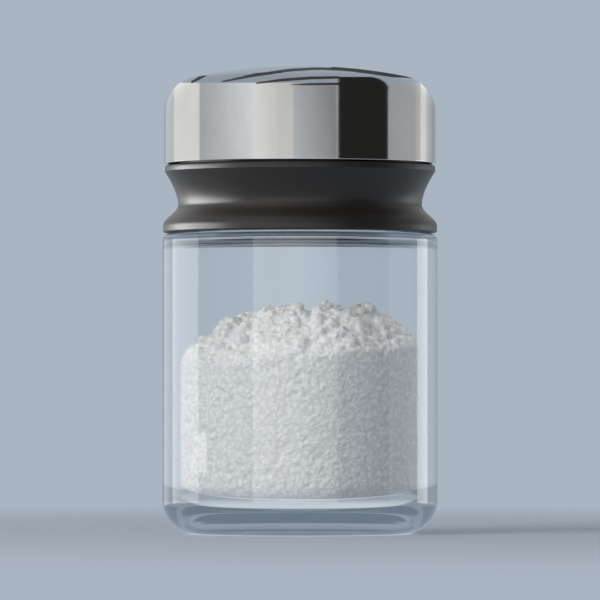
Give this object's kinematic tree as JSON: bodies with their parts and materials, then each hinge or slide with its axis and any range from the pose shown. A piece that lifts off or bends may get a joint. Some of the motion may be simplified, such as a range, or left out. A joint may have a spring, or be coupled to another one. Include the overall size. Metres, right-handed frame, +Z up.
{
  "type": "fine mesh shaker",
  "caption": "Thick glass shaker jar with a screw-on waisted black collar, a domed perforated steel sieve and a pull-off polished steel cap.",
  "frame": {"origin": "middle of the face that the jar stands on", "axes": "+Z up along the jar's axis, with the front of the picture's view towards -Y"},
  "size_m": [0.056, 0.056, 0.095],
  "materials": {
    "clear_glass": "polished",
    "icing_sugar": "matte",
    "soft_seal": "matte",
    "satin_black_plastic": "satin",
    "sieve_steel": "satin",
    "polished_steel": "polished",
    "liner_plastic": "matte"
  },
  "bodies": {
    "jar": {"glass_jar": "clear_glass", "sugar_fill": "icing_sugar"},
    "neck_seal": {"neck_seal": "soft_seal"},
    "collar": {"screw_collar": "satin_black_plastic", "sieve": "sieve_steel", "sieve_clamp_ring": "satin_black_plastic", "cap_grip_ring": "soft_seal"},
    "cap": {"cap_shell": "polished_steel", "cap_liner": "liner_plastic"}
  },
  "joints": [
    {"name": "collar_lift", "type": "slide", "parent": "jar", "child": "neck_seal", "axis": [0, 0, 1], "range_m": [0, 0.012]},
    {"name": "collar_turn", "type": "hinge", "parent": "neck_seal", "child": "collar", "pos_m": [0, 0, 0.0612], "axis": [0, 0, 1], "range_deg": [0, 540]},
    {"name": "cap_pull", "type": "slide", "parent": "collar", "child": "cap", "axis": [0, 0, 1], "range_m": [0, 0.045]}
  ],
  "couplings": [
    {"joint": "collar_lift", "follows": "collar_turn", "m_per_rad": 0.0012732}
  ]
}
